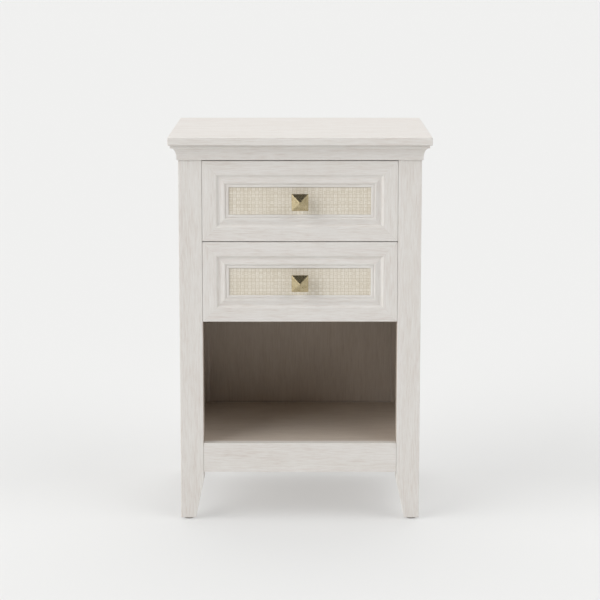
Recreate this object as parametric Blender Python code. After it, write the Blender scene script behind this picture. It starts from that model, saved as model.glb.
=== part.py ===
"""Two-drawer nightstand with an open shelf bay, cane drawer panels and side-mounted drawer slides.

Metres, +Z up. The origin is on the floor under the middle of the nightstand, knobs included.
The front faces -Y and +X is to the right of someone looking at the front.
"""

import math

import bmesh
import bpy
from mathutils import Vector

# ---- driving dimensions ----

WIDTH = 0.450  # top panel
DEPTH = 0.400
HEIGHT = 0.672
TOP_THICKNESS = 0.014
TOP_EASE = 0.001  # bevel along the top panel's edges
OVERHANG = 0.017  # top panel beyond the outer faces of the posts, all round
KNOB_PAST_TOP = 0.011  # how far a knob stands in front of the top panel

POST = 0.040  # depth of the four posts, and width of the front two
REAR_POST_WIDTH = 0.0355
FOOT = 0.026  # section of a post where it meets its glide
TAPER_TOP = 0.070  # height at which the two inner faces of a post start to taper
GLIDE_RADIUS = 0.009
GLIDE_HEIGHT = 0.003

CORNICE_BOTTOM = 0.632
CORNICE_CASE = 0.013  # how far the cornice stands out from the posts
COVE_TOP = 0.653
COVE_BOTTOM = 0.636
COVE_OUT = 0.0115
COVE_IN = 0.0026
COVE_STEPS = 5

APRON_BOTTOM = 0.085
SHELF_TOP = 0.1366
SHELF_THICKNESS = 0.015
DIVIDER_BOTTOM = 0.352
DIVIDER_THICKNESS = 0.012
RAIL_THICKNESS = 0.018
SIDE_THICKNESS = 0.016
BACK_THICKNESS = 0.006
BACK_SETBACK = 0.0025  # back panel behind the front faces of the rear posts
RUNNER_THICKNESS = 0.012

FRONT_HEIGHT = 0.1386  # a drawer front
FRONT_SIDE_GAP = 0.0004
FRONT_GAP = 0.0014  # between the drawer fronts, and above the upper one
FRAME_FLAT = 0.024  # plain outer band of a drawer front's frame
MOULDING = 0.0165  # from the flat band to the lip: a quirk, a slope up to a crest, and a fine groove
QUIRK_SHOULDER = 0.0021  # depth at the foot of the quirk's outer wall
QUIRK_WALL = 0.0033  # width of that wall
QUIRK_DEPTH = 0.0026
QUIRK_WIDTH = 0.005
CREST_DEPTH = 0.0006
CREST_WIDTH = 0.0022  # from the crest to the groove
GROOVE_DEPTH = 0.0024
LIP = 0.0055
LIP_DEPTH = 0.0016
LIP_ROUND = 0.0018
REBATE_LAND = 0.012  # how far the frame covers the edge of the cane
FRAME_THICKNESS = 0.018
CANE_DEPTH = 0.0039  # cane behind the face of the frame
CANE_THICKNESS = 0.0015

BOX_BOARD = 0.012
BOX_HEIGHT = 0.092
BOX_RISE = 0.018  # drawer box bottom edge above the bottom of the front
BOX_LENGTH = 0.300
BOTTOM_PANEL = 0.004
BOTTOM_GROOVE_DEPTH = 0.005
BOTTOM_GROOVE_RISE = 0.010

SLIDE_LENGTH = 0.300
SLIDE_THICKNESS = 0.0127
SLIDE_STEEL = 0.0012
# Each nested channel: its height, and how far its web and the tips of its flanges are from the drawer side.
SLIDE_LAYERS = {
    "outer": (0.045, 0.0127, 0.0040),
    "middle": (0.039, 0.0090, 0.0022),
    "inner": (0.033, 0.0, 0.0062),
}
SLIDE_SETBACK = 0.002  # slides behind the drawer front

KNOB_SIZE = 0.029
KNOB_RISE = 0.010  # height of the pyramid over its square edge
KNOB_EDGE = 0.0015
KNOB_POINT = 0.0008  # flat at the very tip
KNOB_NECK_RADIUS = 0.0055
KNOB_FOOT_RADIUS = 0.0085
KNOB_FOOT_HEIGHT = 0.003
KNOB_FOOT_SLOPE = 0.002
SCREW_RADIUS = 0.002
SCREW_HEAD_RADIUS = 0.0042
SCREW_HEAD_HEIGHT = 0.0022
SCREW_IN_KNOB = 0.012
HOLE_RADIUS = 0.0024
BORE_SPARE = 0.001  # the knob's bore past the end of its screw
CUT_PAST = 0.010  # how far a cutter runs past the face it goes through

GAP = 0.0003  # between pieces that touch

# ---- places worked out from them ----

POST_OUT = WIDTH / 2 - OVERHANG  # outer faces of the posts
POST_IN = POST_OUT - POST
REAR_POST_IN = POST_OUT - REAR_POST_WIDTH
FRONT = -DEPTH / 2 + KNOB_PAST_TOP / 2 + OVERHANG  # front plane of posts, apron and drawers
BACK = FRONT + DEPTH - 2 * OVERHANG
TOP_FRONT = FRONT - OVERHANG
FRONT_POST_BACK = FRONT + POST
BACK_POST_FRONT = BACK - POST
PANEL_FRONT = BACK_POST_FRONT + BACK_SETBACK
SIDE_IN = POST_IN + RUNNER_THICKNESS
FRAME_BACK = FRONT + FRAME_THICKNESS
INSIDE_FRONT = FRAME_BACK + GAP
FRAME_WIDTH = FRAME_FLAT + MOULDING + LIP
FRONT_HALF = POST_IN - FRONT_SIDE_GAP
LOWER_FRONT_BOTTOM = CORNICE_BOTTOM - 2 * (FRONT_HEIGHT + FRONT_GAP)
UPPER_FRONT_BOTTOM = LOWER_FRONT_BOTTOM + FRONT_HEIGHT + FRONT_GAP
SLIDE_OUT = POST_IN - GAP
BOX_HALF = SLIDE_OUT - SLIDE_THICKNESS - GAP

SEGMENTS = 16  # sides of a small round piece
SHARP_ANGLE = math.radians(35)


def clear_scene():
    for leftover in list(bpy.data.objects):
        bpy.data.objects.remove(leftover, do_unlink=True)


def finish(name, colour, roughness, metallic=0.0):
    material = bpy.data.materials.new(name)
    material.use_nodes = True
    shader = material.node_tree.nodes["Principled BSDF"]
    shader.inputs["Base Color"].default_value = (*colour, 1.0)
    shader.inputs["Roughness"].default_value = roughness
    shader.inputs["Metallic"].default_value = metallic
    material.diffuse_color = (*colour, 1.0)
    return material


def own_finish(base, name):
    """Each piece has its own copy of its finish, so one can be changed alone."""
    copy = base.copy()
    copy.name = name + "_finish"
    return copy


def add(name, shape, base, place=(0, 0, 0), parent=None):
    """An object from a bmesh. place is the object's origin, seen from the parent empty."""
    bmesh.ops.recalc_face_normals(shape, faces=shape.faces)
    mesh = bpy.data.meshes.new(name)
    shape.to_mesh(mesh)
    shape.free()
    mesh.materials.append(own_finish(base, name))
    piece = bpy.data.objects.new(name, mesh)
    bpy.context.scene.collection.objects.link(piece)
    piece.location = place
    piece.parent = parent
    return piece


def empty(name, place):
    holder = bpy.data.objects.new(name, None)
    bpy.context.scene.collection.objects.link(holder)
    holder.location = place
    return holder


# ---- shapes ----


def box_shape(low, high):
    low, high = Vector(low), Vector(high)
    shape = bmesh.new()
    bmesh.ops.create_cube(shape, size=1.0)
    bmesh.ops.scale(shape, vec=high - low, verts=shape.verts)
    bmesh.ops.translate(shape, vec=(low + high) / 2, verts=shape.verts)
    return shape


def board(name, low, high, base, parent=None):
    """A plain board between two corners, with its origin in its middle."""
    low, high = Vector(low), Vector(high)
    half = (high - low) / 2
    return add(name, box_shape(-half, half), base, (low + high) / 2, parent)


def lofted(rings):
    """A solid through rings of points that match one to one, with flat ends."""
    shape = bmesh.new()
    loops = [[shape.verts.new(point) for point in ring] for ring in rings]
    for before, after in zip(loops, loops[1:]):
        for i in range(len(before)):
            j = (i + 1) % len(before)
            shape.faces.new((before[i], before[j], after[j], after[i]))
    shape.faces.new(loops[0])
    shape.faces.new(loops[-1])
    return shape


def extruded(outline, axis, start, end):
    """An outline of two coordinates, pushed along the third."""

    def put(a, b, along):
        point = [a, b]
        point.insert("XYZ".index(axis), along)
        return point

    return lofted([[put(a, b, along) for a, b in outline] for along in (start, end)])


def turned(profile, axis_direction):
    """A solid turned about an axis from (radius, height) points, given from its bottom to its top."""
    rings = []
    for radius, height in profile:
        ring = []
        for step in range(SEGMENTS):
            angle = 2 * math.pi * step / SEGMENTS
            ring.append((radius * math.cos(angle), radius * math.sin(angle), height))
        rings.append(ring)
    shape = lofted(rings)
    turn = Vector((0, 0, 1)).rotation_difference(Vector(axis_direction))
    bmesh.ops.rotate(shape, matrix=turn.to_matrix(), verts=shape.verts)
    return shape


def smooth(piece):
    piece.data.shade_smooth()
    piece.data.set_sharp_from_angle(angle=SHARP_ANGLE)
    return piece


def cutter(name, shape, place=(0, 0, 0), parent=None):
    mesh = bpy.data.meshes.new(name)
    bmesh.ops.recalc_face_normals(shape, faces=shape.faces)
    shape.to_mesh(mesh)
    shape.free()
    tool = bpy.data.objects.new(name, mesh)
    bpy.context.scene.collection.objects.link(tool)
    tool.location = place
    tool.parent = parent
    tool.hide_render = True
    tool.display_type = "WIRE"
    return tool


def combine(piece, tool, operation):
    step = piece.modifiers.new(operation.title() + " " + tool.name, "BOOLEAN")
    step.operation = operation
    step.solver = "EXACT"
    step.object = tool


# ---- case ----


def make_top(wood):
    top_bottom = HEIGHT - TOP_THICKNESS
    low = (-WIDTH / 2, TOP_FRONT, top_bottom)
    high = (WIDTH / 2, TOP_FRONT + DEPTH, HEIGHT)
    top = board("top_panel", low, high, wood)
    ease = top.modifiers.new("Eased edges", "BEVEL")
    ease.width = TOP_EASE
    ease.segments = 1


def cornice_profile():
    """(distance out from the posts, height) around one cornice member."""
    top = HEIGHT - TOP_THICKNESS - GAP
    points = [(-POST, CORNICE_BOTTOM), (COVE_IN, CORNICE_BOTTOM)]
    for step in range(COVE_STEPS + 1):
        turn = math.pi / 2 * step / COVE_STEPS
        out = COVE_OUT - (COVE_OUT - COVE_IN) * math.cos(turn)
        height = COVE_BOTTOM + (COVE_TOP - COVE_BOTTOM) * math.sin(turn)
        points.append((out, height))
    points += [(CORNICE_CASE, COVE_TOP), (CORNICE_CASE, top), (-POST, top)]
    return points


def make_cornice(wood):
    profile = cornice_profile()
    mitre = GAP / 2
    front = [
        [(side * (POST_OUT + out - mitre), FRONT - out, height) for out, height in profile]
        for side in (-1, 1)
    ]
    add("cornice_front", lofted(front), wood)
    for side, word in ((-1, "left"), (1, "right")):
        mitred = [(side * (POST_OUT + out), FRONT - out + mitre, height) for out, height in profile]
        square = [(side * (POST_OUT + out), BACK, height) for out, height in profile]
        add("cornice_" + word, lofted([mitred, square]), wood)
    low = (-POST_IN + GAP, BACK - POST, CORNICE_BOTTOM)
    high = (POST_IN - GAP, BACK, HEIGHT - TOP_THICKNESS - GAP)
    board("cornice_rear", low, high, wood)


def make_post(name, side, end, wood):
    """side is -1 for left, end is -1 for front. The taper takes wood off the two inner faces only."""
    corner_x = side * POST_OUT
    corner_y = FRONT if end < 0 else BACK
    width = POST if end < 0 else REAR_POST_WIDTH
    rings = []
    foot = (FOOT, FOOT, GLIDE_HEIGHT + GAP)
    for wide, deep, height in (foot, (width, POST, TAPER_TOP), (width, POST, CORNICE_BOTTOM - GAP)):
        x, y = -side * wide, -end * deep
        rings.append([(0, 0, height), (x, 0, height), (x, y, height), (0, y, height)])
    add(name, lofted(rings), wood, (corner_x, corner_y, 0))


def make_legs(wood, plastic):
    for end, end_word in ((-1, "front"), (1, "rear")):
        for side, side_word in ((-1, "left"), (1, "right")):
            where = end_word + "_" + side_word
            make_post("post_" + where, side, end, wood)
            x = side * (POST_OUT - FOOT / 2)
            y = (FRONT if end < 0 else BACK) - end * FOOT / 2
            disc = turned([(GLIDE_RADIUS, 0), (GLIDE_RADIUS, GLIDE_HEIGHT)], (0, 0, 1))
            smooth(add("glide_" + where, disc, plastic, (x, y, 0)))


def make_panels(wood, panel_wood):
    post_top = CORNICE_BOTTOM - GAP
    for side, word in ((-1, "left"), (1, "right")):
        faces = sorted((side * SIDE_IN, side * (SIDE_IN + SIDE_THICKNESS)))
        low = (faces[0], FRONT_POST_BACK + GAP, APRON_BOTTOM)
        high = (faces[1], BACK_POST_FRONT - GAP, post_top)
        board("side_panel_" + word, low, high, wood)
        faces = sorted((side * POST_IN, side * (SIDE_IN - GAP)))
        low = (faces[0], FRONT_POST_BACK + GAP, DIVIDER_BOTTOM + DIVIDER_THICKNESS + GAP)
        high = (faces[1], BACK_POST_FRONT - GAP, post_top)
        board("runner_board_" + word, low, high, panel_wood)
    low = (-REAR_POST_IN + GAP, PANEL_FRONT, SHELF_TOP + GAP)
    high = (REAR_POST_IN - GAP, PANEL_FRONT + BACK_THICKNESS, post_top)
    board("back_panel", low, high, panel_wood)


def notched_board(name, bottom, thickness, wood):
    """A horizontal board between the side panels, cut out round the four posts."""
    wide = SIDE_IN - GAP
    narrow = POST_IN - GAP
    rear_narrow = REAR_POST_IN - GAP
    front, back = INSIDE_FRONT, PANEL_FRONT - GAP
    notch_front, notch_back = FRONT_POST_BACK + GAP, BACK_POST_FRONT - GAP
    half = [(narrow, front), (narrow, notch_front), (wide, notch_front)]
    half += [(wide, notch_back), (rear_narrow, notch_back), (rear_narrow, back)]
    outline = half + [(-x, y) for x, y in reversed(half)]
    shape = extruded(outline, "Z", -thickness / 2, thickness / 2)
    add(name, shape, wood, (0, 0, bottom + thickness / 2))


def make_rails(wood, inside_wood):
    half = POST_IN - GAP
    board("apron", (-half, FRONT, APRON_BOTTOM), (half, FRONT + RAIL_THICKNESS, SHELF_TOP), wood)
    half = REAR_POST_IN - GAP
    low = (-half, BACK_POST_FRONT + BACK_SETBACK, APRON_BOTTOM)
    high = (half, BACK_POST_FRONT + BACK_SETBACK + RAIL_THICKNESS, SHELF_TOP)
    board("rear_rail", low, high, wood)
    notched_board("shelf_panel", SHELF_TOP - SHELF_THICKNESS, SHELF_THICKNESS, inside_wood)
    notched_board("divider_panel", DIVIDER_BOTTOM, DIVIDER_THICKNESS, inside_wood)


# ---- drawer slides ----


def slide_member(name, side, layer, steel, place, parent=None):
    """One nested channel: an upright web with a flange along its top and its bottom."""
    height, web, tip = SLIDE_LAYERS[layer]
    half = height / 2
    inside = half - SLIDE_STEEL
    web_inside = web + math.copysign(SLIDE_STEEL, tip - web)
    outline = [(web, -half), (tip, -half), (tip, -inside), (web_inside, -inside)]
    outline += [(web_inside, inside), (tip, inside), (tip, half), (web, half)]
    shape = extruded([(side * x, z) for x, z in outline], "Y", 0, SLIDE_LENGTH)
    return add(name, shape, steel, place, parent)


def make_slides(drawer, centre, carriage, runner, steel):
    """Both slides of one drawer. Outer members stay, middle ones go half way, inner ones ride on it."""
    start = INSIDE_FRONT + SLIDE_SETBACK
    x = SLIDE_OUT - SLIDE_THICKNESS
    for side, word in ((-1, "left"), (1, "right")):
        stem = "slide_" + drawer + "_" + word
        fixed = (side * x, start, centre)
        riding = (side * x, start - FRONT, 0)
        slide_member(stem + "_outer", side, "outer", steel, fixed)
        slide_member(stem + "_middle", side, "middle", steel, riding, runner)
        slide_member(stem + "_inner", side, "inner", steel, riding, carriage)


# ---- drawers: everything here is seen from the empty in the middle of the front's face ----


def frame_profile():
    """(distance in from the frame's outer edge, depth behind its face) around one member."""
    rebate = FRAME_WIDTH - REBATE_LAND
    cane_seat = CANE_DEPTH - GAP
    step = FRAME_WIDTH - LIP
    return [
        (0, 0),
        (FRAME_FLAT, 0),
        (FRAME_FLAT + QUIRK_WALL, QUIRK_SHOULDER),
        (FRAME_FLAT + QUIRK_WIDTH, QUIRK_DEPTH),
        (step - CREST_WIDTH, CREST_DEPTH),
        (step, GROOVE_DEPTH),
        (step + GROOVE_DEPTH - LIP_DEPTH, LIP_DEPTH),
        (FRAME_WIDTH - LIP_ROUND, LIP_DEPTH),
        (FRAME_WIDTH, LIP_DEPTH + LIP_ROUND),
        (FRAME_WIDTH, cane_seat),
        (rebate, cane_seat),
        (rebate, FRAME_THICKNESS),
        (0, FRAME_THICKNESS),
    ]


def make_front_frame(drawer, parent, wood):
    """Four mitred members round the cane."""
    profile = frame_profile()
    mitre = GAP / 2
    half_x, half_z = FRONT_HALF, FRONT_HEIGHT / 2
    for side, word in ((-1, "bottom"), (1, "top")):
        ends = [
            [(end * (half_x - d - mitre), depth, side * (half_z - d)) for d, depth in profile]
            for end in (-1, 1)
        ]
        add(drawer + "_rail_" + word, lofted(ends), wood, parent=parent)
    for side, word in ((-1, "left"), (1, "right")):
        ends = [
            [(side * (half_x - d), depth, end * (half_z - d - mitre)) for d, depth in profile]
            for end in (-1, 1)
        ]
        add(drawer + "_stile_" + word, lofted(ends), wood, parent=parent)


def make_cane(drawer, parent, cane, hole):
    margin = FRAME_WIDTH - REBATE_LAND + GAP
    half_x, half_z = FRONT_HALF - margin, FRONT_HEIGHT / 2 - margin
    low = (-half_x, CANE_DEPTH, -half_z)
    high = (half_x, CANE_DEPTH + CANE_THICKNESS, half_z)
    sheet = add(drawer + "_cane", box_shape(low, high), cane, parent=parent)
    combine(sheet, hole, "DIFFERENCE")


def make_box(drawer, parent, box_wood, hole):
    """Front board with its raised field behind the cane, two sides, a back and a grooved-in bottom."""
    low_z = -FRONT_HEIGHT / 2 + BOX_RISE
    high_z = low_z + BOX_HEIGHT
    front_y = FRAME_THICKNESS + GAP
    back_y = front_y + BOX_LENGTH
    inner = BOX_HALF - BOX_BOARD
    groove_low = low_z + BOTTOM_GROOVE_RISE
    groove_high = groove_low + BOTTOM_PANEL + 2 * GAP
    groove_x = inner + BOTTOM_GROOVE_DEPTH

    low = (-inner + GAP, front_y, low_z)
    high = (inner - GAP, front_y + BOX_BOARD, high_z)
    front = add(drawer + "_box_front", box_shape(low, high), box_wood, parent=parent)
    margin = FRAME_WIDTH - REBATE_LAND + 2 * GAP
    field_x, field_z = FRONT_HALF - margin, FRONT_HEIGHT / 2 - margin
    field_y = CANE_DEPTH + CANE_THICKNESS + GAP
    field = box_shape((-field_x, field_y, -field_z), (field_x, front_y + BOX_BOARD / 2, field_z))
    combine(front, cutter(drawer + "_field", field, parent=parent), "UNION")
    groove_y = front_y + BOX_BOARD - BOTTOM_GROOVE_DEPTH
    groove = box_shape((-BOX_HALF, groove_y, groove_low), (BOX_HALF, back_y, groove_high))
    combine(front, cutter(drawer + "_front_groove", groove, parent=parent), "DIFFERENCE")
    combine(front, hole, "DIFFERENCE")

    for side, word in ((-1, "left"), (1, "right")):
        outline = [(BOX_HALF, low_z), (BOX_HALF, high_z), (inner, high_z), (inner, groove_high)]
        outline += [(groove_x, groove_high), (groove_x, groove_low), (inner, groove_low), (inner, low_z)]
        outline = [(side * x, z) for x, z in outline]
        shape = extruded(outline, "Y", front_y, back_y)
        add(drawer + "_box_side_" + word, shape, box_wood, parent=parent)

    back_low = (-inner + GAP, back_y - BOX_BOARD, groove_high)
    back_high = (inner - GAP, back_y, high_z)
    board(drawer + "_box_back", back_low, back_high, box_wood, parent)
    panel_low = (-groove_x + GAP, groove_y + GAP, groove_low + GAP)
    panel_high = (groove_x - GAP, back_y, groove_low + GAP + BOTTOM_PANEL)
    board(drawer + "_box_bottom", panel_low, panel_high, box_wood, parent)


def make_knob(drawer, parent, brass, steel):
    """Square pyramid head on a round neck and foot, drawn up against the cane by a machine screw."""
    tip = OVERHANG + KNOB_PAST_TOP
    base = tip - KNOB_RISE
    seat = -CANE_DEPTH + GAP
    half = KNOB_SIZE / 2
    rings = []
    for size, height in ((half, base - KNOB_EDGE), (half, base), (KNOB_POINT / 2, tip)):
        corners = ((-size, -size), (size, -size), (size, size), (-size, size))
        rings.append([(x, -height, z) for x, z in corners])
    knob = add(drawer + "_knob", lofted(rings), brass, parent=parent)
    foot_top = seat + KNOB_FOOT_HEIGHT
    profile = [(KNOB_FOOT_RADIUS, seat), (KNOB_FOOT_RADIUS, foot_top - KNOB_FOOT_SLOPE / 2)]
    profile += [(KNOB_NECK_RADIUS, foot_top + KNOB_FOOT_SLOPE / 2), (KNOB_NECK_RADIUS, base)]
    combine(knob, cutter(drawer + "_knob_neck", turned(profile, (0, -1, 0)), parent=parent), "UNION")
    bore_end = seat + SCREW_IN_KNOB + BORE_SPARE
    bore = turned([(HOLE_RADIUS, seat - CUT_PAST), (HOLE_RADIUS, bore_end)], (0, -1, 0))
    combine(knob, cutter(drawer + "_knob_bore", bore, parent=parent), "DIFFERENCE")

    head_seat = -(FRAME_THICKNESS + GAP + BOX_BOARD + GAP)
    profile = [(SCREW_HEAD_RADIUS, head_seat - SCREW_HEAD_HEIGHT), (SCREW_HEAD_RADIUS, head_seat)]
    profile += [(SCREW_RADIUS, head_seat), (SCREW_RADIUS, seat + SCREW_IN_KNOB)]
    smooth(add(drawer + "_knob_screw", turned(profile, (0, -1, 0)), steel, parent=parent))


def make_drawer(word, front_bottom, finishes):
    drawer = "drawer_" + word
    centre = front_bottom + FRONT_HEIGHT / 2
    carriage = empty(drawer + "_carriage", (0, FRONT, centre))
    slide_z = -FRONT_HEIGHT / 2 + BOX_RISE + BOX_HEIGHT / 2
    runner = empty("slides_" + word + "_runner", (0, FRONT, centre + slide_z))
    slide_carriage = empty(drawer + "_slide_carriage", (0, 0, slide_z))
    slide_carriage.parent = carriage
    make_front_frame(drawer, carriage, finishes["oak"])
    behind = FRAME_THICKNESS + BOX_BOARD + CUT_PAST
    through = turned([(HOLE_RADIUS, -behind), (HOLE_RADIUS, 0)], (0, -1, 0))
    hole = cutter(drawer + "_screw_hole", through, parent=carriage)
    make_cane(drawer, carriage, finishes["cane"], hole)
    make_box(drawer, carriage, finishes["box"], hole)
    make_knob(drawer, carriage, finishes["brass"], finishes["steel"])
    make_slides(word, centre + slide_z, slide_carriage, runner, finishes["steel"])


def main():
    clear_scene()
    finishes = {
        "oak": finish("washed_oak", (0.68, 0.65, 0.61), 0.55),
        "inside": finish("inside_oak", (0.42, 0.36, 0.30), 0.6),
        "box": finish("drawer_wood", (0.62, 0.52, 0.40), 0.6),
        "cane": finish("woven_cane", (0.64, 0.58, 0.49), 0.65),
        "brass": finish("antique_brass", (0.50, 0.43, 0.28), 0.35, 1.0),
        "steel": finish("zinc_steel", (0.60, 0.61, 0.62), 0.35, 1.0),
        "plastic": finish("glide_plastic", (0.27, 0.25, 0.23), 0.5),
    }
    make_top(finishes["oak"])
    make_cornice(finishes["oak"])
    make_legs(finishes["oak"], finishes["plastic"])
    make_panels(finishes["oak"], finishes["inside"])
    make_rails(finishes["oak"], finishes["inside"])
    make_drawer("upper", UPPER_FRONT_BOTTOM, finishes)
    make_drawer("lower", LOWER_FRONT_BOTTOM, finishes)


main()
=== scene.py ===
"""Looks of a washed oak nightstand with two cane-fronted drawers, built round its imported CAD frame.

Metres, in the frame of the CAD: the front faces -Y, +X is to the right, and the floor is at z = 0.
"""

import math

import bpy
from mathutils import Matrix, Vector


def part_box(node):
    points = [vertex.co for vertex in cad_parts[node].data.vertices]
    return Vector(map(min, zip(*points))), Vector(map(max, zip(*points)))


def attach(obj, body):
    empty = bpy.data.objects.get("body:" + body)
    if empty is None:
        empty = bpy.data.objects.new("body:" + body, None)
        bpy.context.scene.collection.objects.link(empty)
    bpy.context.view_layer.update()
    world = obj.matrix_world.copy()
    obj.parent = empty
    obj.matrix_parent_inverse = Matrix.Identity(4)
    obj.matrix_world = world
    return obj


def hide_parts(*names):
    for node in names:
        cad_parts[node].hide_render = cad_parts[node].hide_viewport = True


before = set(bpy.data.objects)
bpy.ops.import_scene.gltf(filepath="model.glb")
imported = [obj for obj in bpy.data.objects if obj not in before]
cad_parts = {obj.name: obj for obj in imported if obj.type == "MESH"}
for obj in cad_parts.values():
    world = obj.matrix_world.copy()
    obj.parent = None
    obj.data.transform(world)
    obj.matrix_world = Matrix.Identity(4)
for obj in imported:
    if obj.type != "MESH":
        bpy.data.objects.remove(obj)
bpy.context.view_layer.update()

MM = 0.001
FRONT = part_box("apron")[0].y  # front plane of posts, apron and drawer fronts
SIDES = ((-1, "left"), (1, "right"))
DRAWERS = ("upper", "lower")


# ---- modelling by hand tools ----


def deselect():
    bpy.ops.object.select_all(action="DESELECT")


def take(piece):
    """Makes one piece the only selected and the active one."""
    deselect()
    piece.select_set(True)
    bpy.context.view_layer.objects.active = piece


def edit(piece, mode="FACE"):
    take(piece)
    bpy.ops.object.mode_set(mode="EDIT")
    bpy.ops.mesh.select_mode(type=mode)
    bpy.ops.mesh.select_all(action="DESELECT")


def leave():
    bpy.ops.object.mode_set(mode="OBJECT")


def pick(piece, kind, wanted):
    """Selects the faces, edges or vertices whose middle and normal pass a test, from edit mode."""
    leave()
    mesh = piece.data
    for face in mesh.polygons:
        face.select = kind == "faces" and wanted(face.center, face.normal)
    for edge in mesh.edges:
        ends = [mesh.vertices[i].co for i in edge.vertices]
        edge.select = kind == "edges" and wanted((ends[0] + ends[1]) / 2, ends[1] - ends[0])
    for vertex in mesh.vertices:
        vertex.select = kind == "vertices" and wanted(vertex.co, vertex.normal)
    bpy.ops.object.mode_set(mode="EDIT")


def settle(piece):
    """Puts the object at the origin, unturned and unscaled, with its place in its mesh."""
    take(piece)
    bpy.ops.object.transform_apply(location=True, rotation=True, scale=True)


def block(name, low, high):
    """A rectangular blank between two corners."""
    low, high = Vector(low), Vector(high)
    deselect()
    bpy.ops.mesh.primitive_cube_add(size=1, location=(low + high) / 2)
    piece = bpy.context.object
    piece.name = name
    piece.scale = high - low
    settle(piece)
    return piece


def drawn_face(name, points):
    """One face with the given corners, in their order."""
    deselect()
    bpy.ops.mesh.primitive_circle_add(vertices=len(points), fill_type="NGON")
    piece = bpy.context.object
    piece.name = name
    for vertex, point in zip(piece.data.vertices, points):
        vertex.co = point
    return piece


def pull(piece, way):
    """Extrudes a drawn face into a length of moulding."""
    edit(piece)
    bpy.ops.mesh.select_all(action="SELECT")
    bpy.ops.mesh.extrude_region_move(TRANSFORM_OT_translate={"value": way})
    bpy.ops.mesh.select_all(action="SELECT")
    bpy.ops.mesh.normals_make_consistent(inside=False)
    leave()
    return piece


def saw(piece, point, normal):
    """Cuts off what lies on the normal's side of a plane, and closes the cut."""
    edit(piece)
    bpy.ops.mesh.select_all(action="SELECT")
    bpy.ops.mesh.bisect(plane_co=point, plane_no=normal, use_fill=True, clear_outer=True)
    leave()
    return piece


def bevel_edges(piece, width, wanted=None, segments=3):
    """Rounds the wanted edges, or all of them."""
    edit(piece, "EDGE")
    if wanted is None:
        bpy.ops.mesh.select_all(action="SELECT")
    else:
        pick(piece, "edges", wanted)
    bpy.ops.mesh.bevel(offset=width, segments=segments, affect="EDGES", clamp_overlap=True)
    leave()
    return piece


def draw_out(piece, direction, steps):
    """Takes the end face of a round piece outward, step by step: (distance, change of radius)."""
    way = Vector(direction)
    edit(piece)
    pick(piece, "faces", lambda centre, normal: normal.dot(way) > 0.9)
    for distance, ratio in steps:
        bpy.ops.mesh.extrude_region_move(TRANSFORM_OT_translate={"value": way * distance})
        bpy.ops.transform.resize(value=(ratio, ratio, ratio), center_override=end_middle(piece, way))
    leave()
    return piece


def end_middle(piece, way):
    """The middle of the selected end face, while in edit mode."""
    piece.update_from_editmode()
    chosen = [vertex.co for vertex in piece.data.vertices if vertex.select]
    return sum(chosen, Vector()) / len(chosen)


def round_start(name, centre, radius, height, direction, sides=32):
    """A short cylinder whose first end is at centre and whose axis runs along direction."""
    way = Vector(direction)
    turn = Vector((0, 0, 1)).rotation_difference(way).to_euler()
    middle = Vector(centre) + way * height / 2
    deselect()
    bpy.ops.mesh.primitive_cylinder_add(
        vertices=sides, radius=radius, depth=height, location=middle, rotation=turn
    )
    piece = bpy.context.object
    piece.name = name
    settle(piece)
    return piece


def join(pieces, name):
    """Makes several pieces one, under a new name."""
    take(pieces[0])
    for piece in pieces[1:]:
        piece.select_set(True)
    bpy.ops.object.join()
    pieces[0].name = name
    return pieces[0]


def repeated(piece, step, count):
    """Copies a piece count times, each one step further on."""
    array = piece.modifiers.new("Copies", "ARRAY")
    array.use_relative_offset = False
    array.use_constant_offset = True
    array.constant_offset_displace = step
    array.count = count
    take(piece)
    bpy.ops.object.modifier_apply(modifier=array.name)
    return piece


def move(piece, offset):
    """Moves a piece's mesh, with its object left at the origin."""
    piece.location = offset
    settle(piece)
    return piece


def shade(piece, angle=40):
    """Smooth over the rounded edges, with the large faces kept flat."""
    take(piece)
    bpy.ops.object.shade_smooth_by_angle(angle=math.radians(angle))
    weighted = piece.modifiers.new("Weighted normals", "WEIGHTED_NORMAL")
    weighted.keep_sharp = True
    bpy.ops.object.modifier_apply(modifier=weighted.name)
    return piece


def stand_for(piece, cad_node, body, material):
    """Finishes a piece that takes a CAD node's place."""
    piece.data.materials.clear()
    piece.data.materials.append(material)
    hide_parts(cad_node)
    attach(piece, body)
    return piece


def arc(centre, radii, start, end, steps):
    """Points along a quarter or so of an ellipse, in degrees, both ends included."""
    points = []
    for step in range(steps + 1):
        angle = math.radians(start + (end - start) * step / steps)
        across = centre[0] + radii[0] * math.cos(angle)
        up = centre[1] + radii[1] * math.sin(angle)
        points.append((across, up))
    return points


# ---- materials ----


def linear(hex_colour):
    """sRGB hex to the linear colour that a shader takes."""
    channels = []
    for start in (1, 3, 5):
        value = int(hex_colour[start : start + 2], 16) / 255
        channels.append(value / 12.92 if value <= 0.04045 else ((value + 0.055) / 1.055) ** 2.4)
    return (*channels, 1.0)


def node(tree, kind, settings=None, inputs=None, stops=None):
    """Adds one node. An input is a value or the socket it is linked to, and stops are a ramp's colours."""
    made = tree.nodes.new(kind)
    for name, value in (settings or {}).items():
        setattr(made, name, value)
    for key, value in (inputs or {}).items():
        if isinstance(value, bpy.types.NodeSocket):
            tree.links.new(value, made.inputs[key])
        else:
            made.inputs[key].default_value = value
    for index, (position, colour) in enumerate(stops or []):
        elements = made.color_ramp.elements
        element = elements[index] if index < len(elements) else elements.new(position)
        element.position = position
        element.color = linear(colour)
    return made


def new_material(name):
    """A material, its node tree and its shader."""
    material = bpy.data.materials.new(name)
    material.use_nodes = True
    tree = material.node_tree
    shader = tree.nodes["Principled BSDF"]
    return material, tree, shader


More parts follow.
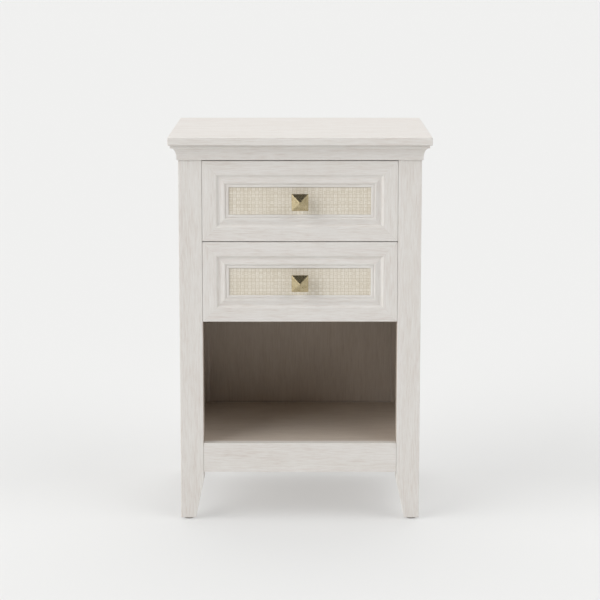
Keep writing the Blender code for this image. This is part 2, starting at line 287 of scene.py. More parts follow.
OAK_STOPS = ((0.38, "#E3E0DC"), (0.5, "#DEDAD5"), (0.58, "#D9D3CD"), (0.68, "#D0C7C0"))
# darker stops: painted shade for the inside of the case and round the open bay
BAY_SHADE_STOPS = ((0.36, "#CDC2B7"), (0.5, "#C7BCB0"), (0.58, "#C2B6AA"), (0.7, "#B7AB9F"))
BOX_STOPS = ((0.36, "#E6D8BF"), (0.5, "#DCCBAF"), (0.58, "#D2BF9F"), (0.7, "#BFA985"))
GRAIN_AXIS = {"across": 0, "deep": 1, "upright": 2}
PATCH_WIDTH = 18 * MM  # slow changes of tone
STREAK_WIDTH = 2.0 * MM  # bands of latewood, and rows of pores as wide as they show
FIBRE_WIDTH = 0.9 * MM
PORE_WIDTH = 0.5 * MM


def bay_shade_mask(tree, place):
    """1 on the faces round the open bay, where shade is painted, 0 elsewhere."""
    low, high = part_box("side_panel_left")[1].x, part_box("side_panel_right")[0].x
    bay_low = Vector((low - MM, FRONT + 1.5 * MM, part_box("shelf_panel")[1].z - MM))
    bay_high = Vector((high + MM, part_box("back_panel")[0].y + MM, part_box("divider_panel")[0].z + MM))
    centre, half = (bay_low + bay_high) / 2, (bay_high - bay_low) / 2
    offset = node(tree, "ShaderNodeVectorMath", {"operation": "SUBTRACT"}, {0: place, 1: centre}).outputs[0]
    shares = node(tree, "ShaderNodeVectorMath", {"operation": "DIVIDE"}, {0: offset, 1: half}).outputs[0]
    sizes = node(tree, "ShaderNodeVectorMath", {"operation": "ABSOLUTE"}, {0: shares}).outputs[0]
    parts = node(tree, "ShaderNodeSeparateXYZ", inputs={0: sizes}).outputs
    wider = node(tree, "ShaderNodeMath", {"operation": "MAXIMUM"}, {0: parts[0], 1: parts[1]}).outputs[0]
    widest = node(tree, "ShaderNodeMath", {"operation": "MAXIMUM"}, {0: wider, 1: parts[2]}).outputs[0]
    return node(tree, "ShaderNodeMath", {"operation": "LESS_THAN"}, {0: widest, 1: 1.0}).outputs[0]


def washed_oak(name, grain, cut, stops=OAK_STOPS, shade_round_bay=False):
    """Oak, brushed so its pores stand open, washed with thinned white paint and given a matt lacquer.

    The wash fills the wood to a warm off-white, and pores and latewood stay a little darker along the grain.
    cut says from which part of the log the board comes, so that no two boards match. When asked, the faces
    round the open bay are painted with the darker bay stops, as shade.
    """
    material, tree, shader = new_material(name)
    place = node(tree, "ShaderNodeTexCoord").outputs["Object"]

    def along_grain(size, stretch, drift):
        scale = [1.0, 1.0, 1.0]
        scale[GRAIN_AXIS[grain]] = 1 / stretch
        offset = (cut * 0.37 + drift, cut * 0.53 - drift, cut * 0.71 + drift)
        mapped = node(tree, "ShaderNodeMapping", inputs={0: place, "Location": offset, "Scale": scale})
        noise = {"Vector": mapped.outputs[0], "Scale": 1 / size, "Detail": 2.0, "Roughness": 0.6}
        return node(tree, "ShaderNodeTexNoise", inputs=noise).outputs["Fac"]

    def weighted(value, weight, rest):
        inputs = {0: value, 1: weight, 2: rest}
        return node(tree, "ShaderNodeMath", {"operation": "MULTIPLY_ADD"}, inputs).outputs[0]

    patches = along_grain(PATCH_WIDTH, 6, 0.0)
    streaks = along_grain(STREAK_WIDTH, 14, 1.3)
    fibres = along_grain(FIBRE_WIDTH, 22, 2.1)
    pores = along_grain(PORE_WIDTH, 18, 2.9)
    figure = weighted(fibres, 0.35, weighted(streaks, 0.4, weighted(patches, 0.25, 0.0)))
    colour = node(tree, "ShaderNodeValToRGB", inputs={0: figure}, stops=stops).outputs[0]
    # painted shade on the faces round the open bay
    if shade_round_bay:
        bay = node(tree, "ShaderNodeValToRGB", inputs={0: figure}, stops=BAY_SHADE_STOPS).outputs[0]
        mix = {0: bay_shade_mask(tree, place), 6: colour, 7: bay}
        colour = node(tree, "ShaderNodeMix", {"data_type": "RGBA"}, mix).outputs[2]
    open_pores = node(
        tree, "ShaderNodeMapRange", inputs={0: pores, "From Min": 0.58, "From Max": 0.72, "To Max": 0.5}
    ).outputs[0]
    mix = {0: open_pores, 6: colour, 7: linear(stops[-1][1])}
    colour = node(tree, "ShaderNodeMix", {"data_type": "RGBA"}, mix).outputs[2]
    roughness = node(
        tree, "ShaderNodeMapRange", inputs={0: streaks, "To Min": 0.46, "To Max": 0.62}
    ).outputs[0]
    grooves = weighted(figure, 0.8, open_pores)
    depth = {"Strength": 0.3, "Distance": 0.12 * MM, "Height": grooves}
    bump = node(tree, "ShaderNodeBump", {"invert": True}, depth).outputs[0]
    tree.links.new(colour, shader.inputs["Base Color"])
    tree.links.new(roughness, shader.inputs["Roughness"])
    tree.links.new(bump, shader.inputs["Normal"])
    shader.inputs["Specular IOR Level"].default_value = 0.4
    return material


CANE_STOPS = ((0.36, "#DED5C4"), (0.62, "#EAE3D6"))
# painted shade for the hollows of the weave
CANE_HOLLOW_SHADE = "#AFA288"
HOLLOW_START = 0.11 * MM  # in front of the middle of the weave
HOLLOW_END = 0.1 * MM  # behind it


def cane(name, grain):
    """Rattan cane, split and left uncoated: a hard, cream, satin skin that changes slowly along a strand.

    It is painted browner in the hollows of the weave, as shade there.
    """
    material, tree, shader = new_material(name)
    place = node(tree, "ShaderNodeTexCoord").outputs["Object"]
    scale = [1.0, 1.0, 1.0]
    scale[GRAIN_AXIS[grain]] = 0.06
    mapped = node(tree, "ShaderNodeMapping", inputs={0: place, "Scale": scale}).outputs[0]
    tone = node(
        tree, "ShaderNodeTexNoise", inputs={"Vector": mapped, "Scale": 1 / (5 * MM), "Detail": 2.0}
    ).outputs["Fac"]
    skin = node(tree, "ShaderNodeValToRGB", inputs={0: tone}, stops=CANE_STOPS).outputs[0]
    low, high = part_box("drawer_upper_cane")
    middle = (low.y + high.y) / 2 - WEAVE_RISE
    depth = node(tree, "ShaderNodeSeparateXYZ", inputs={0: place}).outputs[1]
    # darker towards the back of the weave: painted shade in its hollows
    limits = {0: depth, "From Min": middle - HOLLOW_START, "From Max": middle + HOLLOW_END}
    hollow_shade = node(tree, "ShaderNodeMapRange", inputs=limits).outputs[0]
    mix = {0: hollow_shade, 6: skin, 7: linear(CANE_HOLLOW_SHADE)}
    colour = node(tree, "ShaderNodeMix", {"data_type": "RGBA"}, mix).outputs[2]
    fibre = node(
        tree, "ShaderNodeTexNoise", inputs={"Vector": mapped, "Scale": 1 / (0.5 * MM), "Detail": 1.0}
    ).outputs["Fac"]
    bump = node(
        tree, "ShaderNodeBump", inputs={"Strength": 0.3, "Distance": 0.05 * MM, "Height": fibre}
    ).outputs[0]
    tree.links.new(colour, shader.inputs["Base Color"])
    tree.links.new(bump, shader.inputs["Normal"])
    shader.inputs["Roughness"].default_value = 0.42
    return material


def antique_brass():
    """Cast brass, aged brown in a bath and then relieved: soft clouds of patina on a satin metal."""
    material, tree, shader = new_material("antique_brass")
    place = node(tree, "ShaderNodeTexCoord").outputs["Object"]
    clouds = node(
        tree, "ShaderNodeTexNoise", inputs={"Vector": place, "Scale": 1 / (6 * MM), "Detail": 4.0}
    ).outputs["Fac"]
    colour = node(
        tree, "ShaderNodeValToRGB", inputs={0: clouds}, stops=((0.35, "#AD9E7C"), (0.7, "#C4B795"))
    ).outputs[0]
    roughness = node(
        tree, "ShaderNodeMapRange", inputs={0: clouds, "To Min": 0.32, "To Max": 0.22}
    ).outputs[0]
    casting = node(
        tree, "ShaderNodeTexNoise", inputs={"Vector": place, "Scale": 1 / (0.8 * MM), "Detail": 2.0}
    ).outputs["Fac"]
    bump = node(
        tree, "ShaderNodeBump", inputs={"Strength": 0.12, "Distance": 0.05 * MM, "Height": casting}
    ).outputs[0]
    tree.links.new(colour, shader.inputs["Base Color"])
    tree.links.new(roughness, shader.inputs["Roughness"])
    tree.links.new(bump, shader.inputs["Normal"])
    shader.inputs["Metallic"].default_value = 1.0
    return material


def zinc_steel():
    """Cold-rolled steel with bright zinc plating: cool grey, with fine rolling lines along the channel."""
    material, tree, shader = new_material("zinc_steel")
    place = node(tree, "ShaderNodeTexCoord").outputs["Object"]
    mapped = node(tree, "ShaderNodeMapping", inputs={0: place, "Scale": (1, 0.02, 1)}).outputs[0]
    lines = node(
        tree, "ShaderNodeTexNoise", inputs={"Vector": mapped, "Scale": 1 / (0.6 * MM), "Detail": 2.0}
    ).outputs["Fac"]
    colour = node(
        tree, "ShaderNodeValToRGB", inputs={0: lines}, stops=((0.3, "#B9BCBF"), (0.7, "#D2D4D6"))
    ).outputs[0]
    roughness = node(
        tree, "ShaderNodeMapRange", inputs={0: lines, "To Min": 0.26, "To Max": 0.42}
    ).outputs[0]
    tree.links.new(colour, shader.inputs["Base Color"])
    tree.links.new(roughness, shader.inputs["Roughness"])
    shader.inputs["Metallic"].default_value = 1.0
    return material


def moulded_nylon():
    """Grey moulded nylon, with the faint sheen of a spark-eroded mould."""
    material, tree, shader = new_material("moulded_nylon")
    place = node(tree, "ShaderNodeTexCoord").outputs["Object"]
    texture = node(
        tree, "ShaderNodeTexNoise", inputs={"Vector": place, "Scale": 1 / (0.7 * MM), "Detail": 1.0}
    ).outputs["Fac"]
    colour = node(
        tree, "ShaderNodeValToRGB", inputs={0: texture}, stops=((0.3, "#86817A"), (0.7, "#948F87"))
    ).outputs[0]
    bump = node(
        tree, "ShaderNodeBump", inputs={"Strength": 0.2, "Distance": 0.05 * MM, "Height": texture}
    ).outputs[0]
    tree.links.new(colour, shader.inputs["Base Color"])
    tree.links.new(bump, shader.inputs["Normal"])
    shader.inputs["Roughness"].default_value = 0.55
    return material


# ---- case ----

ARRIS = 0.8 * MM  # how far an edge is sanded round
HIDDEN_ARRIS = 0.5 * MM  # the same on boards that mostly face inwards
TOP_ARRIS = 1.2 * MM
BACK_ARRIS = 0.4 * MM
MITRE = 0.05 * MM  # what is planed off each side of a mitre


def eased_board(piece_name, cad_node, body, material, ease=ARRIS):
    """A board with its arrises sanded round."""
    low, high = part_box(cad_node)
    piece = shade(bevel_edges(block(piece_name, low, high), ease))
    return stand_for(piece, cad_node, body, material)


def make_top():
    oak = washed_oak("top_oak", "across", 1)
    eased_board("top", "top_panel", "case", oak, TOP_ARRIS)


CASING = 13 * MM  # how far the cornice's upper fillet stands out from the posts
COVE_OUT = 11.5 * MM  # the same for the two ends of the cove
COVE_IN = 2.6 * MM
COVE_TOP = 653 * MM  # heights over the floor
COVE_BOTTOM = 636 * MM
NOTCH_GAP = 0.3 * MM  # round a post


def cornice_outline():
    """(distance out from the posts, height) round the moulding: a fillet over a cove over a small bead."""
    low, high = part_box("cornice_front")
    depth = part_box("post_front_left")[1].y - FRONT
    bead = ARRIS
    points = [(-depth, low.z), (COVE_IN - bead, low.z)]
    points += arc((COVE_IN - bead, low.z + bead), (bead, bead), -90, 0, 3)[1:]
    cove = (COVE_OUT - COVE_IN, COVE_TOP - COVE_BOTTOM)
    points += arc((COVE_OUT, COVE_BOTTOM), cove, 180, 90, 12)
    points += arc((CASING - ARRIS, COVE_TOP + ARRIS), (ARRIS, ARRIS), -90, 0, 3)
    points += arc((CASING - ARRIS, high.z - ARRIS), (ARRIS, ARRIS), 0, 90, 3)
    points.append((-depth, high.z))
    return points


def make_cornice():
    outline = cornice_outline()
    post_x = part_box("post_front_right")[1].x
    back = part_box("post_rear_left")[1].y
    reach = post_x + CASING
    front = drawn_face("cornice_front_moulding", [(-reach, FRONT - out, z) for out, z in outline])
    pull(front, (2 * reach, 0, 0))
    for side, _ in SIDES:
        saw(front, (side * (post_x - MITRE), FRONT, 0), (side, 1, 0))
    shade(front)
    oak = washed_oak("cornice_front_oak", "across", 2)
    stand_for(front, "cornice_front", "case", oak)
    for side, word in SIDES:
        points = [(side * (post_x + out), back, z) for out, z in outline]
        length = drawn_face(f"cornice_{word}_moulding", points)
        pull(length, (0, FRONT - CASING - back, 0))
        saw(length, (side * post_x, FRONT + MITRE, 0), (-side, -1, 0))
        shade(length)
        oak = washed_oak(f"cornice_{word}_oak", "deep", 3 + side)
        stand_for(length, f"cornice_{word}", "case", oak)
    oak = washed_oak("cornice_rear_oak", "across", 5)
    eased_board("cornice_rear_rail", "cornice_rear", "case", oak)


FOOT = 26 * MM  # section of a leg at the floor
TAPER_TOP = 70 * MM  # height at which a leg starts to taper


def make_posts():
    """Square posts whose two inner faces taper below the rails."""
    for end, end_word in ((-1, "front"), (1, "rear")):
        for side, side_word in SIDES:
            name = f"post_{end_word}_{side_word}"
            low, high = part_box(name)
            corner = (high.x if side > 0 else low.x, low.y if end < 0 else high.y, low.z)
            post = block(name + "_leg", low, high)
            edit(post)
            bpy.ops.mesh.select_all(action="SELECT")
            bpy.ops.mesh.bisect(plane_co=(0, 0, TAPER_TOP), plane_no=(0, 0, 1))
            pick(post, "faces", lambda centre, normal: normal.z < -0.9)
            ratios = (FOOT / (high.x - low.x), FOOT / (high.y - low.y), 1)
            bpy.ops.transform.resize(value=ratios, center_override=corner)
            leave()

            def long_or_lowest(middle, way):
                return abs(way.z) > 0.5 * way.length or middle.z < low.z + MM

            shade(bevel_edges(post, ARRIS, long_or_lowest))
            oak = washed_oak(name + "_oak", "upright", 10 + 2 * side + 3 * end, shade_round_bay=True)
            stand_for(post, name, "case", oak)


def make_glides():
    """Nail-on glides, domed a little where they slide on the floor."""
    nylon = moulded_nylon()
    for end_word in ("front", "rear"):
        for _, side_word in SIDES:
            name = f"glide_{end_word}_{side_word}"
            low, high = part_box(name)
            centre = ((low.x + high.x) / 2, (low.y + high.y) / 2, high.z)
            radius = (high.x - low.x) / 2
            height = high.z - low.z
            glide = round_start(name + "_disc", centre, radius, height * 0.6, (0, 0, -1))
            draw_out(glide, (0, 0, -1), ((height * 0.25, 0.95), (height * 0.15, 0.85)))
            shade(glide, 60)
            stand_for(glide, name, "case", nylon)


def make_panels():
    for side, word in SIDES:
        oak = washed_oak(f"side_{word}_oak", "upright", 20 + side, shade_round_bay=True)
        eased_board(f"side_{word}_board", f"side_panel_{word}", "case", oak, HIDDEN_ARRIS)
        # the runners and the back board are painted darker, as shade inside the case
        oak = washed_oak(f"runner_{word}_oak", "deep", 24 + side, BAY_SHADE_STOPS)
        eased_board(f"runner_{word}_board", f"runner_board_{word}", "case", oak, HIDDEN_ARRIS)
    oak = washed_oak("back_oak", "upright", 27, BAY_SHADE_STOPS)
    eased_board("back_board", "back_panel", "case", oak, BACK_ARRIS)
    oak = washed_oak("apron_oak", "across", 30)
    eased_board("apron_board", "apron", "case", oak)
    oak = washed_oak("rear_rail_oak", "across", 31)
    eased_board("rear_rail_board", "rear_rail", "case", oak)


def make_notched_boards():
    """The shelf and the divider, cut out round the posts."""
    post_low, post_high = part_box("post_front_right")
    rear_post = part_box("post_rear_right")[0]
    narrow = post_low.x - NOTCH_GAP
    rear_narrow = rear_post.x - NOTCH_GAP
    notch_front, notch_back = post_high.y + NOTCH_GAP, rear_post.y - NOTCH_GAP
    for cut, name in ((40, "shelf"), (41, "divider")):
        low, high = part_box(name + "_panel")
        half = [(narrow, low.y), (narrow, notch_front), (high.x, notch_front)]
        half += [(high.x, notch_back), (rear_narrow, notch_back), (rear_narrow, high.y)]
        outline = half + [(-x, y) for x, y in reversed(half)]
        board = drawn_face(name + "_board", [(x, y, low.z) for x, y in outline])
        pull(board, (0, 0, high.z - low.z))
        shade(bevel_edges(board, HIDDEN_ARRIS, lambda middle, way: abs(way.z) < 1e-6, 2))
        # painted darker, as shade inside the case
        oak = washed_oak(name + "_oak", "across", cut, BAY_SHADE_STOPS)
        stand_for(board, name + "_panel", "case", oak)


# ---- drawer fronts ----

FRAME_WIDTH = 46 * MM
FRAME_ARRIS = 0.5 * MM
LAND = 12 * MM  # how far the frame covers the cane
CANE_GAP = 0.3 * MM
# Points of the moulding: millimetres in from the outer edge, and behind the face
CREST = (38.0, 0.62)
SWELL_STEPS = 8  # from the quirk up to the crest
QUIRK = ((23.7, 0.0), (24.4, 0.22), (25.5, 0.9), (26.7, 1.75), (27.6, 2.3), (28.6, 2.58), (29.6, 2.5))
GROOVE = ((38.9, 0.74), (39.7, 1.15), (40.2, 1.75), (40.5, 2.4), (40.9, 2.0), (41.3, 1.7), (41.8, 1.6))
LIP_DEPTH = 1.6 * MM
LIP_ROUND = 1.8 * MM


def frame_outline():
    """(distance in from the outer edge, depth) round one member.

    A flat band falls into a quirk, the moulding swells up to a crest, and a fine groove parts it from the
    round lip along the cane.
    """
    low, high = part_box("drawer_upper_stile_left")
    thickness = high.y - low.y
    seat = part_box("drawer_upper_cane")[0].y - low.y - CANE_GAP
    points = arc((FRAME_ARRIS, FRAME_ARRIS), (FRAME_ARRIS, FRAME_ARRIS), 180, 270, 3)
    points += [(across * MM, depth * MM) for across, depth in QUIRK]
    start = QUIRK[-1]
    for part in range(1, SWELL_STEPS + 1):
        share = part / SWELL_STEPS
        rise = share * share * (3 - 2 * share)
        across = start[0] + (CREST[0] - start[0]) * share
        points.append((across * MM, (start[1] + (CREST[1] - start[1]) * rise) * MM))
    points += [(across * MM, depth * MM) for across, depth in GROOVE]
    centre = (FRAME_WIDTH - LIP_ROUND, LIP_DEPTH + LIP_ROUND)
    points += arc(centre, (LIP_ROUND, LIP_ROUND), 270, 360, 5)
    points += [(FRAME_WIDTH, seat), (FRAME_WIDTH - LAND, seat), (FRAME_WIDTH - LAND, thickness)]
    points.append((0, thickness))
    return points


def make_drawer_frame(drawer, body, cut):
    """Two rails and two stiles, moulded along their inner edges and mitred."""
    outline = frame_outline()
    low_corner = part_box(f"{drawer}_rail_bottom")[0]
    high_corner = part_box(f"{drawer}_rail_top")[1]
    half_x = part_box(f"{drawer}_stile_right")[1].x
    bottom, top = low_corner.z, high_corner.z
    front = low_corner.y
    for side, word in ((-1, "bottom"), (1, "top")):
        edge = bottom if side < 0 else top
        points = [(-half_x, front + depth, edge - side * d) for d, depth in outline]
        rail = pull(drawn_face(f"{drawer}_{word}_rail", points), (2 * half_x, 0, 0))
        for end, _ in SIDES:
            saw(rail, (end * (half_x - MITRE), front, edge), (end, 0, -side))
        shade(rail)
        oak = washed_oak(f"{drawer}_{word}_rail_oak", "across", cut + side)
        stand_for(rail, f"{drawer}_rail_{word}", body, oak)
    for side, word in SIDES:
        points = [(side * (half_x - d), front + depth, bottom) for d, depth in outline]
        stile = pull(drawn_face(f"{drawer}_{word}_stile", points), (0, 0, top - bottom))
        for end, edge in ((-1, bottom), (1, top)):
            saw(stile, (side * half_x, front, edge - end * MITRE), (-side, 0, end))
        shade(stile)
        oak = washed_oak(f"{drawer}_{word}_stile_oak", "upright", cut + 4 + side)
        stand_for(stile, f"{drawer}_stile_{word}", body, oak)


# The cane is a plain weave of pairs of strands: the warp stands upright, and the weft lies across it.
WARP_PITCH = 6.4 * MM  # from one pair to the next
WEFT_PITCH = 5.75 * MM
WARP_STRAND = 2.65 * MM  # width of one strand
WEFT_STRAND = 2.42 * MM
STRAND_SLIT = 0.15 * MM  # between the two strands of a pair
STRAND_THICKNESS = 0.24 * MM
STRAND_LIFT = 0.12 * MM  # how far a strand goes forward and back to pass over and under
STRAND_CROWN = 0.08 * MM
STRAND_STEPS = 4  # faces along a strand from one crossing to the next
WEAVE_RISE = 0.75 * MM  # the weave bulges through the frame a little


def paired(spread, pitch):
    """How many twos of pairs fill the spread, and where the first pair lies from the middle."""
    doubles = int(spread / pitch) // 2
    return doubles, -(2 * doubles - 1) * pitch / 2


def strand(name, length, width, crossing, phase, upright):
    """One cane strand in the XZ plane, crowned to the front, that goes over and under what it crosses."""
    steps = round(length / crossing) * STRAND_STEPS
    first = paired(length, crossing)[1]
    deselect()
    bpy.ops.mesh.primitive_grid_add(x_subdivisions=steps, y_subdivisions=2, size=1)
    piece = bpy.context.object
    piece.name = name
    for vertex in piece.data.vertices:
        along, across = vertex.co.x * length, vertex.co.y * width
        wave = STRAND_LIFT * math.cos(math.pi * (along - first) / crossing + phase)
        crown = STRAND_CROWN * (1 - (2 * vertex.co.y) ** 2)
        depth = -wave - crown
        vertex.co = (across, depth, along) if upright else (along, depth, across)
    solid = piece.modifiers.new("Thickness", "SOLIDIFY")
    solid.thickness = STRAND_THICKNESS
    solid.offset = 1.0 if upright else -1.0
    take(piece)
    bpy.ops.object.modifier_apply(modifier=solid.name)
    return piece


def woven_set(name, upright, length, spread, pitch, width, crossing):
    """All strands that run one way: pairs, each pair woven opposite to the last."""
    strands = []
    for pair in (0, 1):
        over = (pair == 0) == upright
        for twin in (-1, 1):
            one = strand(name, length, width, crossing, 0.0 if over else math.pi, upright)
            aside = pair * pitch + twin * (width + STRAND_SLIT) / 2
            strands.append(move(one, (aside, 0, 0) if upright else (0, 0, aside)))
    unit = join(strands, name)
    doubles, start = paired(spread, pitch)
    repeated(unit, (2 * pitch, 0, 0) if upright else (0, 0, 2 * pitch), doubles)
    return move(unit, (start, 0, 0) if upright else (0, 0, start))


def make_cane(drawer, body, materials):
    """A woven sheet. The two materials are those of the warp and the weft."""
    low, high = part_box(f"{drawer}_cane")
    size = high - low
    centre = (low + high) / 2
    warp = woven_set(drawer + "_warp", True, size.z, size.x, WARP_PITCH, WARP_STRAND, WEFT_PITCH)
    weft = woven_set(drawer + "_weft", False, size.x, size.z, WEFT_PITCH, WEFT_STRAND, WARP_PITCH)
    for piece, material in ((warp, materials[0]), (weft, materials[1])):
        piece.data.materials.clear()
        piece.data.materials.append(material)
        take(piece)
        bpy.ops.object.shade_smooth_by_angle(angle=math.radians(50))
    sheet = join([warp, weft], f"{drawer}_cane_sheet")
    move(sheet, (0, centre.y - WEAVE_RISE, centre.z))
    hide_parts(f"{drawer}_cane")
    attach(sheet, body)


KNOB_RISE = 10 * MM  # height of the pyramid over its square edge
KNOB_EDGE = 1.5 * MM
KNOB_POINT = 0.03  # width of the tip, as a share of the head
KNOB_ARRIS = 0.35 * MM
KNOB_FOOT_RADIUS = 8.5 * MM
KNOB_FOOT_EDGE = 1.6 * MM
KNOB_FOOT_TURN = ((0.5 * MM, 0.93), (0.7 * MM, 0.82), (0.9 * MM, 0.87))  # (length, change of radius)


def make_knob(drawer, body, brass):
    """A square pyramid cast on a round neck, with a foot that spreads on the cane."""
    low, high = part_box(f"{drawer}_knob")
    centre = (low + high) / 2
    seat, tip = high.y, low.y
    base = tip + KNOB_RISE
    head = block(f"{drawer}_knob_head", (low.x, base, low.z), (high.x, base + KNOB_EDGE, high.z))
    edit(head)
    pick(head, "faces", lambda middle, normal: normal.y < -0.9)
    bpy.ops.mesh.extrude_region_move(TRANSFORM_OT_translate={"value": (0, -KNOB_RISE, 0)})
    tip_size = (KNOB_POINT, 1, KNOB_POINT)
    bpy.ops.transform.resize(value=tip_size, center_override=(centre.x, tip, centre.z))
    leave()
    bevel_edges(head, KNOB_ARRIS)
    forward = (0, -1, 0)
    start = (centre.x, seat, centre.z)
    foot = round_start(f"{drawer}_knob_foot", start, KNOB_FOOT_RADIUS, KNOB_FOOT_EDGE, forward)
    draw_out(foot, forward, KNOB_FOOT_TURN)
    turned = KNOB_FOOT_EDGE + sum(length for length, _ in KNOB_FOOT_TURN)
    neck = seat - base - turned
    draw_out(foot, forward, ((neck - 1.4 * MM, 0.98), (1.0 * MM, 1.25)))
    shade(head, 30)
    shade(foot, 35)
    knob = join([head, foot], f"{drawer}_pyramid_knob")
    stand_for(knob, f"{drawer}_knob", body, brass)


# ---- drawer boxes and slides ----

BOX_ARRIS = 1.0 * MM
FIELD_ARRIS = 0.4 * MM


def make_box(drawer, body, cut):
    """Birch boards, with their edges rounded for the hand."""
    for side, word in SIDES:
        node_name = f"{drawer}_box_side_{word}"
        birch = washed_oak(node_name + "_wood", "deep", cut + side, BOX_STOPS)
        eased_board(f"{drawer}_{word}_side_board", node_name, body, birch, BOX_ARRIS)
    for offset, part, grain in ((5, "front", "across"), (6, "back", "across"), (7, "bottom", "deep")):
        node_name = f"{drawer}_box_{part}"
        birch = washed_oak(node_name + "_wood", grain, cut + offset, BOX_STOPS)
        if part == "front":
            make_box_front(drawer, body, birch)
        else:
            eased_board(f"{drawer}_{part}_board", node_name, body, birch, HIDDEN_ARRIS)


def make_box_front(drawer, body, birch):
    """The board behind the frame, with a raised field that backs the cane."""
    low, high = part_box(f"{drawer}_box_front")
    cane_low, cane_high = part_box(f"{drawer}_cane")
    board_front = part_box(f"{drawer}_box_side_left")[0].y
    front = block(f"{drawer}_front_board", (low.x, board_front, low.z), high)
    edit(front)
    pick(front, "faces", lambda middle, normal: normal.y < -0.9)
    bpy.ops.mesh.extrude_region_move()
    across = (cane_high.x - cane_low.x - 2 * CANE_GAP) / (high.x - low.x)
    up = (cane_high.z - cane_low.z - 2 * CANE_GAP) / (high.z - low.z)
    board_middle = (low.z + high.z) / 2
    bpy.ops.transform.resize(value=(across, 1, up), center_override=(0, board_front, board_middle))
    rise = (cane_low.z + cane_high.z) / 2 - board_middle
    bpy.ops.transform.translate(value=(0, 0, rise))
    bpy.ops.mesh.extrude_region_move(TRANSFORM_OT_translate={"value": (0, low.y - board_front, 0)})
    leave()
    shade(bevel_edges(front, FIELD_ARRIS, segments=2))
    stand_for(front, f"{drawer}_box_front", body, birch)


STEEL = 1.2 * MM
BEND = 2.2 * MM  # outer radius of a rolled corner
SCREW_PLACES = (0.14, 0.5, 0.86)  # shares of a slide's length
SCREW_RADIUS = 3.6 * MM
SCREW_EDGE = 0.5 * MM
SCREW_CROWN = ((0.4 * MM, 0.9), (0.25 * MM, 0.75))  # (height, change of radius)


def channel_outline(depth, height):
    """(distance from the web, height over the middle) round a rolled channel."""
    half, inner = height / 2, BEND - STEEL
    lip = STEEL / 2
    lower = arc((depth - lip, -half + lip), (lip, lip), 90, -90, 4)
    lower += arc((BEND, -half + BEND), (BEND, BEND), 270, 180, 4)
    upper = [(u, -z) for u, z in reversed(lower)]
    inside = arc((BEND, half - BEND), (inner, inner), 90, 180, 4)
    return lower + upper + inside + [(u, -z) for u, z in reversed(inside)]


def make_slide_member(name, side, layer, body, steel):
    """A rolled channel. The inner member turns its back to the drawer and shows its screws."""
    low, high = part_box(name)
    web, way = (high.x, -1) if (side > 0) != (layer == "inner") else (low.x, 1)
    middle = (low.z + high.z) / 2
    outline = channel_outline(high.x - low.x, high.z - low.z)
    points = [(web + way * u, low.y, middle + z) for u, z in outline]
    member = pull(drawn_face(name + "_channel", points), (0, high.y - low.y, 0))
    shade(member, 50)
    if layer == "inner":
        heads = []
        for share in SCREW_PLACES:
            start = (web + way * STEEL, low.y + share * (high.y - low.y), middle)
            head = round_start(f"{name}_screw", start, SCREW_RADIUS, SCREW_EDGE, (way, 0, 0), 24)
            draw_out(head, (way, 0, 0), SCREW_CROWN)
            heads.append(shade(head, 50))
        member = join([member, *heads], name + "_channel")
    stand_for(member, name, body, steel)


def make_slides(word, steel):
    bodies = {"outer": "case", "middle": f"{word}_slide_stage", "inner": f"{word}_drawer"}
    for side, side_word in SIDES:
        for layer, body in bodies.items():
            make_slide_member(f"slide_{word}_{side_word}_{layer}", side, layer, body, steel)


def finish_screw(drawer, steel):
    """The knob's machine screw keeps its CAD shape and takes the zinc plating."""
    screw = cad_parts[f"{drawer}_knob_screw"]
    screw.data.materials.clear()
    screw.data.materials.append(steel)


# ---- stage ----

BACKGROUND = "#EFEFEF"
FLOOR_COLOUR = "#AAAAA9"
FLOOR_GLOW = 0.385
ROOM_GLOW = 0.03
# Soft lamps: degrees to the right of the front, height in degrees, width in degrees, strength
LAMPS = {
    "left_softbox": (-65, 26, 66, 2.9),
    "right_softbox": (65, 42, 58, 1.5),
    "rear_softbox": (180, 63, 60, 1.62),
}
CAMERA_DISTANCE = 3.5  # from the front edge of the top
CAMERA_HEIGHT = 1.0
CAMERA_TILT = 9.26  # degrees down
CAMERA_LENS = 124.3  # millimetres, on a 36 mm sensor
CAMERA_SENSOR = 36
CAMERA_SHIFT = -0.035
FLOOR_SIZE = 80


def make_floor():
    """A sheet of translucent white acrylic, lit from below, so that shadows on it stay pale."""
    deselect()
    bpy.ops.mesh.primitive_plane_add(size=FLOOR_SIZE)
    floor = bpy.context.object
    floor.name = "studio_floor"
    material, tree, shader = new_material("backlit_acrylic")
    shader.inputs["Base Color"].default_value = linear(FLOOR_COLOUR)
    shader.inputs["Roughness"].default_value = 0.9
    shader.inputs["Specular IOR Level"].default_value = 0.0
    shader.inputs["Emission Color"].default_value = (1.0, 1.0, 0.995, 1.0)
    shader.inputs["Emission Strength"].default_value = FLOOR_GLOW
    floor.data.materials.append(material)


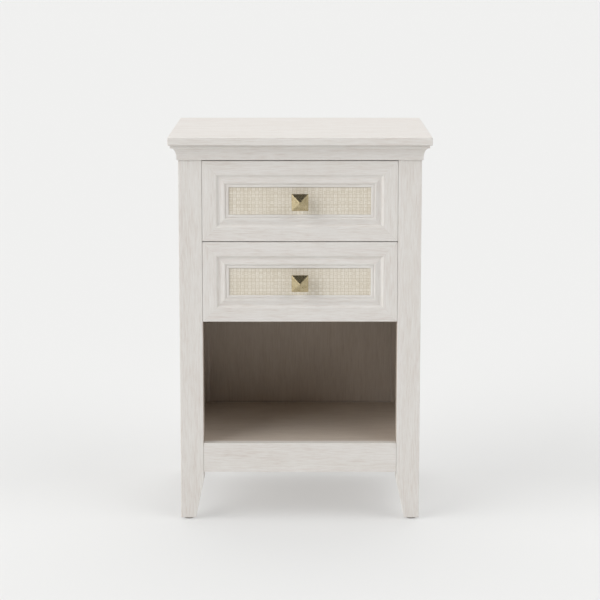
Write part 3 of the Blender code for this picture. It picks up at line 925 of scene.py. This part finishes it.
def make_lamps():
    """Softboxes low on both sides and one behind the top, with the room dark above the camera."""
    for name, (turn, height, width, strength) in LAMPS.items():
        bpy.ops.object.light_add(type="SUN")
        lamp = bpy.context.object
        lamp.name = name
        lamp.rotation_euler = (math.radians(90 - height), 0, math.radians(turn))
        lamp.data.angle = math.radians(width)
        lamp.data.energy = strength


def make_room():
    """A dark room that the camera sees as a pale backdrop."""
    world = bpy.data.worlds.new("studio")
    bpy.context.scene.world = world
    world.use_nodes = True
    tree = world.node_tree
    room = tree.nodes["Background"]
    room.inputs["Color"].default_value = (ROOM_GLOW, ROOM_GLOW, ROOM_GLOW, 1.0)
    backdrop = node(tree, "ShaderNodeBackground", inputs={"Color": linear(BACKGROUND)})
    seen = node(tree, "ShaderNodeLightPath").outputs["Is Camera Ray"]
    mixed = node(
        tree, "ShaderNodeMixShader", inputs={0: seen, 1: room.outputs[0], 2: backdrop.outputs[0]}
    )
    tree.links.new(mixed.outputs[0], tree.nodes["World Output"].inputs["Surface"])


def make_camera():
    front_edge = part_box("top_panel")[0].y
    tilt = math.radians(90 - CAMERA_TILT)
    place = (0, front_edge - CAMERA_DISTANCE, CAMERA_HEIGHT)
    bpy.ops.object.camera_add(location=place, rotation=(tilt, 0, 0))
    camera = bpy.context.object
    camera.data.lens = CAMERA_LENS
    camera.data.sensor_width = CAMERA_SENSOR
    camera.data.shift_y = CAMERA_SHIFT
    bpy.context.scene.camera = camera
    bpy.context.scene.view_settings.view_transform = "Standard"


def main():
    make_top()
    make_cornice()
    make_posts()
    make_glides()
    make_panels()
    make_notched_boards()
    steel = zinc_steel()
    brass = antique_brass()
    cane_materials = (cane("cane_warp", "upright"), cane("cane_weft", "across"))
    for index, word in enumerate(DRAWERS):
        drawer, body = f"drawer_{word}", f"{word}_drawer"
        make_drawer_frame(drawer, body, 50 + 10 * index)
        make_cane(drawer, body, cane_materials)
        make_knob(drawer, body, brass)
        make_box(drawer, body, 80 + 10 * index)
        make_slides(word, steel)
        finish_screw(drawer, steel)
    make_floor()
    make_lamps()
    make_room()
    make_camera()


main()
